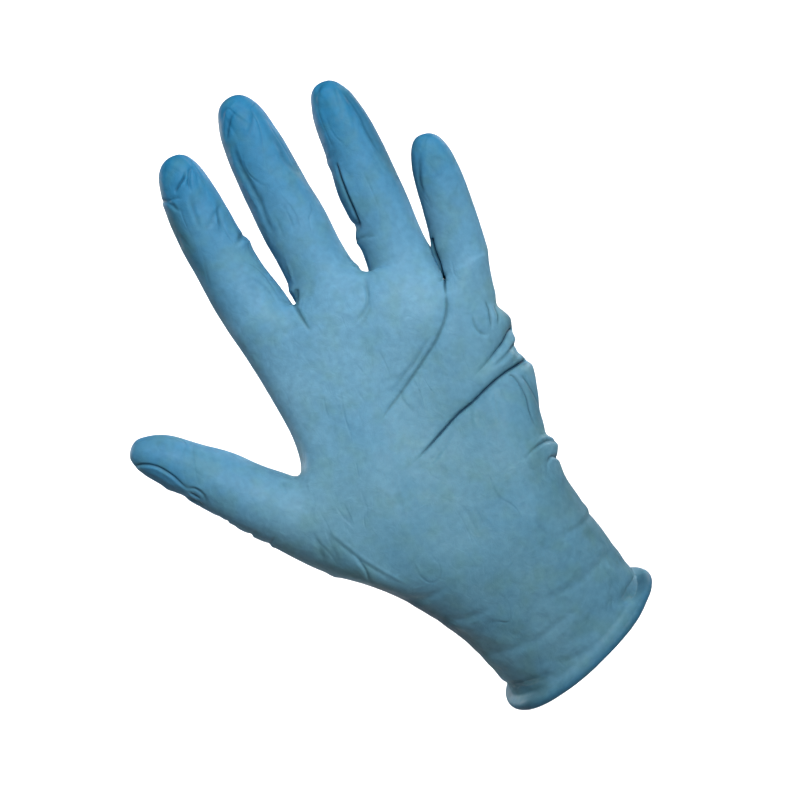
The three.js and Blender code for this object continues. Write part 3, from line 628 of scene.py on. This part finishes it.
# The rolled edge
# The film's own end, so it grows out of the same sheet: while the glove is on its former,
# brushes roll the wet edge outwards on itself into a bead. It keeps the cuff from tearing and
# gives a grip to pull it on.
CUFF_ACROSS = np.array([0.9397, 0.0, 0.3420])
CUFF_BACK = np.cross(CUFF_ALONG, CUFF_ACROSS)
ROLL_RADIUS = 1.95
ROLL_SAMPLES = 120
ROLL_TURNS_ON = 290
ROLL_TUCKED_IN = 0.9
ROLL_UNEVEN = 0.08
ROLL_WAVY = 0.2
ROLL_DOUBLED = 0.42
ROLL_LOOSE = 0.6
ROLLED_TO = (-0.8, 2.2)
PACKED_ROLL_HEIGHT = 3
SAMPLE_REACH = 6
ROWS_DOWN = 5
ROWS_ROUND = 18

# Where the roll is thicker or thinner, and where it stands higher, by its angle round the rim:
# 0 is the little finger's side, 90 the back and 270 the palm's side
ROLL_LUMPS = [
    {"name": "knob, little finger's side", "angle": 352, "round": 9, "thick": 0.55, "up": 0.6},
    {"name": "neck beside it", "angle": 331, "round": 9, "thick": -0.25, "up": 0.0},
    {"name": "knob, thumb's side", "angle": 205, "round": 10, "thick": 0.5, "up": 0.5},
    {"name": "neck beside it", "angle": 228, "round": 9, "thick": -0.2, "up": 0.0},
    {"name": "palm's side", "angle": 275, "round": 40, "thick": -0.3, "up": -0.2},
    {"name": "back, first", "angle": 60, "round": 14, "thick": 0.2, "up": 0.4},
    {"name": "back, second", "angle": 128, "round": 16, "thick": -0.15, "up": -0.2},
]


def cuff_turn(places):
    """For each place its angle round the cuff, its distance from the axis and its height."""
    across, back = places @ CUFF_ACROSS, places @ CUFF_BACK
    return np.degrees(np.arctan2(back, across)) % 360, np.hypot(back, across), places @ CUFF_ALONG


def cuff_places(angle, out, up):
    """The places at those angles round the cuff, distances from its axis and heights."""
    turn = np.radians(angle)
    radial = np.outer(np.cos(turn), CUFF_ACROSS) + np.outer(np.sin(turn), CUFF_BACK)
    return out[:, None] * radial + np.outer(up, CUFF_ALONG)


def apart_round(angle, middle):
    """How many degrees the angles lie to one side of a middle, from -180 to 180."""
    return (angle - middle + 180) % 360 - 180


def evened(ring, spread=5):
    """A closed ring of evenly spaced values, each averaged with its neighbours."""
    weights = np.exp(-((np.arange(-3 * spread, 3 * spread + 1) / spread) ** 2))
    padded = np.concatenate([ring[-3 * spread:], ring, ring[:3 * spread]])
    return np.convolve(padded, weights / weights.sum(), mode="valid")


def select_rim(piece):
    """Selects a piece's one open edge and returns the numbers of its points."""
    select_only(piece)
    bpy.ops.object.mode_set(mode="EDIT")
    bpy.ops.mesh.select_mode(type="EDGE")
    bpy.ops.mesh.select_all(action="DESELECT")
    bpy.ops.mesh.select_non_manifold()
    bpy.ops.object.mode_set(mode="OBJECT")
    return np.array([point.index for point in piece.data.vertices if point.select])


def add_row(piece, row_places):
    """Extrudes a piece's open edge by one row and puts it where row_places(angle) says."""
    bpy.ops.object.mode_set(mode="EDIT")
    bpy.ops.mesh.extrude_region_move()
    bpy.ops.object.mode_set(mode="OBJECT")
    places = places_of(piece)
    row = np.array([point.index for point in piece.data.vertices if point.select])
    places[row] = row_places(cuff_turn(places[row])[0])
    put_places(piece, places)


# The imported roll's lowest and outermost places, by angle, say where the roll's middle runs
angle, out, up = cuff_turn(packed[packed @ CUFF_ALONG < PACKED_ROLL_HEIGHT])
ring_angle = np.arange(ROLL_SAMPLES) * 360 / ROLL_SAMPLES
ring_out = np.zeros(ROLL_SAMPLES)
ring_up = np.zeros(ROLL_SAMPLES)
for number, middle in enumerate(ring_angle):
    near = np.abs(apart_round(angle, middle)) < SAMPLE_REACH
    ring_out[number] = out[near].max() - ROLL_RADIUS
    ring_up[number] = up[near].min() + ROLL_RADIUS
ring_out, ring_up = evened(ring_out), evened(ring_up)
ring_places = cuff_places(ring_angle, ring_out, ring_up)
ring_thick = ROLL_RADIUS + ROLL_UNEVEN * uneven(ring_places, wave=9.0, seed=4)
rise = ROLL_WAVY * uneven(ring_places, wave=14.0, seed=5)
for lump in ROLL_LUMPS:
    spread = np.exp(-((apart_round(ring_angle, lump["angle"]) / lump["round"]) ** 2))
    ring_thick += lump["thick"] * spread
    rise += lump["up"] * spread
ring_up += rise

# Where the film meets the roll, in degrees out from the roll's top: further out on the palm's
# side, where the roll is tucked in, and a little on the back
palm_side = np.exp(-(((ring_angle - 272) / 42) ** 2))
back_side = np.exp(-(((ring_angle - 90) / 60) ** 2))
ring_out -= ROLL_TUCKED_IN * palm_side
ring_meets = 25 + 40 * palm_side + 15 * back_side


def at_angle(values, angle):
    return np.interp(angle, ring_angle, values, period=360)


def on_roll(angle, turned):
    """Distance and height on the roll, so many degrees on from where the film meets it."""
    turn = np.radians(at_angle(ring_meets, angle) + turned)
    thick = at_angle(ring_thick, angle)
    return np.stack([at_angle(ring_out, angle) + thick * np.sin(turn),
                     at_angle(ring_up, angle) + thick * np.cos(turn)])


rim = select_rim(film)
rim_angle, rim_out, rim_up = cuff_turn(places_of(film)[rim])
order = np.argsort(rim_angle)
rim_angle, rim_out, rim_up = rim_angle[order], rim_out[order], rim_up[order]


def on_way_down(angle, share):
    """Distance and height on a curve that leaves the film's rim and meets the roll."""
    start = np.stack([np.interp(angle, rim_angle, rim_out, period=360),
                      np.interp(angle, rim_angle, rim_up, period=360)])
    end = on_roll(angle, 0)
    turn = np.radians(at_angle(ring_meets, angle))
    pull = np.linalg.norm(end - start, axis=0)
    leave = np.stack([0.05 * pull, -0.9 * pull])
    arrive = np.stack([np.cos(turn), -np.sin(turn)]) * 0.8 * pull
    t = share
    return ((2 * t**3 - 3 * t**2 + 1) * start + (t**3 - 2 * t**2 + t) * leave
            + (3 * t**2 - 2 * t**3) * end + (t**3 - t**2) * arrive)


for number in range(1, ROWS_DOWN + 1):
    share = number / ROWS_DOWN
    add_row(film, lambda angle: cuff_places(angle, *on_way_down(angle, share)))
for number in range(1, ROWS_ROUND + 1):
    turned = number * ROLL_TURNS_ON / ROWS_ROUND
    add_row(film, lambda angle: cuff_places(angle, *on_roll(angle, turned)))
places = places_of(film)
rolled = 1 - rise_between(places @ CUFF_ALONG, *ROLLED_TO)
doubled = np.zeros(len(places), np.float32)
film.data.attributes["doubled"].data.foreach_get("value", doubled)
doubled += rolled * (ROLL_DOUBLED - doubled)
note_on_points(film, doubled=doubled, loose=np.maximum(looseness(places), ROLL_LOOSE * rolled))

# The inner side
# The same sheet seen through the cuff, dull and plain, since only the outer side shows its folds.
# It stands further in than the film is thick, clear of the folds, and closes into the roll.
INSET_AT_CUFF = 0.8
MORE_INSIDE = 2.0
MORE_FROM_TO = (6, 26)
LINING_DARKER = 0.35
INTO_ROLL = 0.5

places = places_of(lining)
inset = INSET_AT_CUFF + MORE_INSIDE * rise_between(places @ CUFF_ALONG, *MORE_FROM_TO)
put_places(lining, places - inset[:, None] * normals_of(lining))
# The inner side is coloured darker all over, through the same note as the folds
note_on_points(lining, doubled=np.full(len(places), LINING_DARKER), loose=np.zeros(len(places)))
select_rim(lining)
add_row(lining, lambda angle: cuff_places(angle, at_angle(ring_out, angle) - INTO_ROLL,
                                          at_angle(ring_up, angle) + INTO_ROLL))
bpy.ops.object.mode_set(mode="EDIT")
bpy.ops.mesh.select_all(action="SELECT")
bpy.ops.mesh.flip_normals()
bpy.ops.object.mode_set(mode="OBJECT")
film.select_set(True)
bpy.context.view_layer.objects.active = film
bpy.ops.object.join()
bpy.ops.object.shade_smooth()

# The nitrile
# Rubber dyed blue in the mix, with a satin skin. Stretched over the palm it turns pale, where it
# hangs it keeps its full blue, and in a fold, where light goes through several layers, it is
# nearly navy. Over this, shade is painted: a dull greenish teal wherever the film is painted
# dark, and the same navy in the grooves, in the thin creases and on the shaded sides.
STRETCHED = (0.150, 0.340, 0.477, 1)
HANGING = (0.012, 0.174, 0.354, 1)
SHADE_AND_MOTTLE_TEAL = (0.105, 0.235, 0.085, 1)
FOLD_AND_SHADE_NAVY = (0.004, 0.038, 0.080, 1)


def add_node(tree, kind, inputs, **settings):
    """A new node with its settings made, and each input set to a value or joined to a socket."""
    node = tree.nodes.new(kind)
    for name, value in settings.items():
        setattr(node, name, value)
    for name, source in inputs.items():
        if isinstance(source, bpy.types.NodeSocket):
            tree.links.new(source, node.inputs[name])
        else:
            node.inputs[name].default_value = source
    return node


def calculate(tree, operation, first, second=0.0, clamped=False):
    step = add_node(tree, "ShaderNodeMath", {0: first, 1: second},
                    operation=operation, use_clamp=clamped)
    return step.outputs["Value"]


def blend_colour(tree, share, low, high):
    """From one colour to another; each of the three is a value or a socket."""
    mix = add_node(tree, "ShaderNodeMix", {"Factor": share, "A": low, "B": high}, data_type="RGBA")
    return mix.outputs["Result"]


def note_of_points(tree, name):
    return add_node(tree, "ShaderNodeAttribute", {}, attribute_name=name).outputs["Fac"]


def noise_height(tree, where, scale, detail, distortion=0):
    pattern = add_node(tree, "ShaderNodeTexNoise", {
        "Vector": where, "Scale": scale, "Detail": detail, "Distortion": distortion})
    return pattern.outputs["Fac"]


def patches(tree, where, scale, detail, low, high):
    """Random patches, so many to a metre, between two values."""
    spread = add_node(tree, "ShaderNodeMapRange", {
        "Value": noise_height(tree, where, scale, detail),
        "From Min": 0.3, "From Max": 0.7, "To Min": low, "To Max": high})
    return spread.outputs["Result"]


def thin_creases(tree, where, loose):
    """Thin creases, longer up the glove, 1 in their middle; more of them where it is loose."""
    drawn_up = add_node(tree, "ShaderNodeMapping", {"Vector": where, "Scale": (1, 1, 0.4)})
    waves = noise_height(tree, drawn_up.outputs["Vector"], scale=95, detail=1, distortion=0.5)
    off_middle = calculate(tree, "ABSOLUTE", calculate(tree, "SUBTRACT", waves, 0.5))
    thin = add_node(tree, "ShaderNodeMapRange", {
        "Value": off_middle, "From Max": 0.05, "To Min": 1, "To Max": 0},
        interpolation_type="SMOOTHSTEP")
    spots = patches(tree, where, scale=70, detail=1, low=-0.9, high=0.9)
    amount = calculate(tree, "ADD", spots, loose, clamped=True)
    return calculate(tree, "MULTIPLY", thin.outputs["Result"], amount)


def press_surface(tree, height, strength, distance, under=None, inwards=False):
    """A bump of a height in metres, on top of another one where that is given."""
    inputs = {"Height": height, "Strength": strength, "Distance": distance}
    if under:
        inputs["Normal"] = under
    return add_node(tree, "ShaderNodeBump", inputs, invert=inwards).outputs["Normal"]


nitrile = bpy.data.materials.new("nitrile film")
nitrile.use_nodes = True
tree = nitrile.node_tree
where = tree.nodes.new("ShaderNodeTexCoord").outputs["Object"]
loose_film = note_of_points(tree, "loose")
doubled_film = note_of_points(tree, "doubled")
creases = thin_creases(tree, where, loose_film)

# Stretched film is the ground, and each row lays one more colour over it, by its share
# Painted shade: where the film is painted dark it is also dulled towards a greenish teal
shade_dulled = add_node(tree, "ShaderNodeMapRange", {
    "Value": doubled_film, "From Max": 0.25, "To Max": 0.2})
# Of the rows below, the first and the last paint shade, the last but one paints shade and the film
# doubled in its folds; the others are the film's own blue and random tone
colour = STRETCHED
for share, tint in (
    (shade_dulled.outputs["Result"], SHADE_AND_MOTTLE_TEAL),
    (loose_film, HANGING),
    (patches(tree, where, scale=38, detail=3, low=0.0, high=0.3), HANGING),
    (patches(tree, where, scale=130, detail=2, low=-0.12, high=0.17), SHADE_AND_MOTTLE_TEAL),
    (patches(tree, where, scale=420, detail=3, low=0.0, high=0.17), FOLD_AND_SHADE_NAVY),
    (doubled_film, FOLD_AND_SHADE_NAVY),
    (calculate(tree, "MULTIPLY", creases, 0.09), FOLD_AND_SHADE_NAVY),
):
    colour = blend_colour(tree, share, colour, tint)

# A fine grain, then the skin's soft creping, then the creases pressed in
grain = press_surface(
    tree, noise_height(tree, where, scale=1900, detail=3), strength=0.12, distance=0.0002)
creping = press_surface(
    tree, noise_height(tree, where, scale=240, detail=4, distortion=0.8),
    strength=0.36, distance=0.0008, under=grain)
pressed_in = press_surface(
    tree, creases, strength=0.26, distance=0.0006, under=creping, inwards=True)
satin = patches(tree, where, scale=160, detail=4, low=0.54, high=0.70)
surface = tree.nodes["Principled BSDF"].inputs
tree.links.new(colour, surface["Base Color"])
tree.links.new(satin, surface["Roughness"])
tree.links.new(pressed_in, surface["Normal"])
surface["IOR"].default_value = 1.5
surface["Specular IOR Level"].default_value = 0.2
surface["Subsurface Weight"].default_value = 0.12
surface["Subsurface Radius"].default_value = (0.6, 0.9, 1.2)
surface["Subsurface Scale"].default_value = 0.0012
film.data.materials.clear()
film.data.materials.append(nitrile)
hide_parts(*frame["nodes"])
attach(film, "root")

# The studio
# A pale floor, a roll of white paper that hangs behind and sweeps onto it, a soft light high
# on the right, a wide weak one in front, and two that light the paper from its sides.
GLOVE_MIDDLE = Vector((-0.0238, 0.0, 0.1046))
PAPER_MIDDLE = Vector((-0.0238, 2.2, 0.15))
PAPER_WIDTH = 1.3
PAPER_HEIGHT = 2.2
PAPER_BACK = 1.6
PAPER_SWEEP = 0.5
PAPER_ABOVE_FLOOR = 0.005
FLOOR_WIDTH = 7
FLOOR_BELOW = 0.9

bpy.ops.object.select_all(action="DESELECT")
bpy.ops.mesh.primitive_plane_add(size=FLOOR_WIDTH, location=(0, 0, -FLOOR_BELOW))
floor = bpy.context.active_object
floor.name = "floor"
bpy.ops.mesh.primitive_plane_add(
    size=PAPER_WIDTH, location=(0, PAPER_BACK, PAPER_ABOVE_FLOOR - FLOOR_BELOW))
paper = bpy.context.active_object
paper.name = "paper"
for piece in (floor, paper):
    select_only(piece)
    bpy.ops.object.transform_apply(location=True, rotation=False, scale=False)
back_edge = [all(paper.data.vertices[end].co.y > PAPER_BACK for end in edge.vertices)
             for edge in paper.data.edges]
select_inside(paper, "EDGE", back_edge)
bpy.ops.mesh.extrude_region_move(TRANSFORM_OT_translate={"value": (0, 0, PAPER_HEIGHT)})
bpy.ops.object.mode_set(mode="OBJECT")
sweep = paper.modifiers.new("sweep", "BEVEL")
sweep.width = PAPER_SWEEP
sweep.segments = 16
sweep.limit_method = "ANGLE"
bpy.ops.object.modifier_apply(modifier=sweep.name)
bpy.ops.object.shade_smooth()
for piece, shade in ((floor, 0.75), (paper, 0.95)):
    pale = bpy.data.materials.new("pale " + piece.name)
    pale.use_nodes = True
    matt = pale.node_tree.nodes["Principled BSDF"].inputs
    matt["Base Color"].default_value = (shade, shade, shade, 1)
    matt["Roughness"].default_value = 0.9
    piece.data.materials.append(pale)

sky = bpy.data.worlds.new("studio")
bpy.context.scene.world = sky
sky.use_nodes = True
sky.node_tree.nodes["Background"].inputs["Color"].default_value = (0.95, 0.97, 1.0, 1)
sky.node_tree.nodes["Background"].inputs["Strength"].default_value = 0.06
bpy.context.scene.view_settings.view_transform = "Standard"


def add_light(name, place, target, size, power, spread=180):
    """A round soft light that points at its target; power in watts and spread in degrees."""
    light = bpy.data.lights.new(name, "AREA")
    light.shape = "DISK"
    light.spread = math.radians(spread)
    light.size = size
    light.energy = power
    lamp = new_piece(name, light)
    lamp.location = place
    lamp.rotation_euler = (target - Vector(place)).to_track_quat("-Z", "Y").to_euler()


add_light("key", (0.32, -1.05, 0.64), Vector((-0.05, 0, 0.165)), size=0.40, power=1.6, spread=50)
add_light("fill", (0.1, -1.7, 0.3), GLOVE_MIDDLE, size=0.9, power=2.0)
add_light("paper left", (-1.5, 1.3, 0.9), PAPER_MIDDLE, size=0.8, power=60)
add_light("paper right", (1.5, 1.3, 0.9), PAPER_MIDDLE, size=0.8, power=60)

# The camera stands 1.1 m before the glove and is turned as the glove lies in the picture
CAMERA_DISTANCE = 1.1
CAMERA_TURN = 24
VIEW_WIDTH = 0.2888
SENSOR_WIDTH = 36
view = bpy.data.cameras.new("camera")
view.sensor_width = SENSOR_WIDTH
view.lens = SENSOR_WIDTH * CAMERA_DISTANCE / VIEW_WIDTH
camera = new_piece("camera", view)
camera.location = GLOVE_MIDDLE - Vector((0, CAMERA_DISTANCE, 0))
camera.rotation_euler = (math.radians(90), math.radians(CAMERA_TURN), 0)
bpy.context.scene.camera = camera
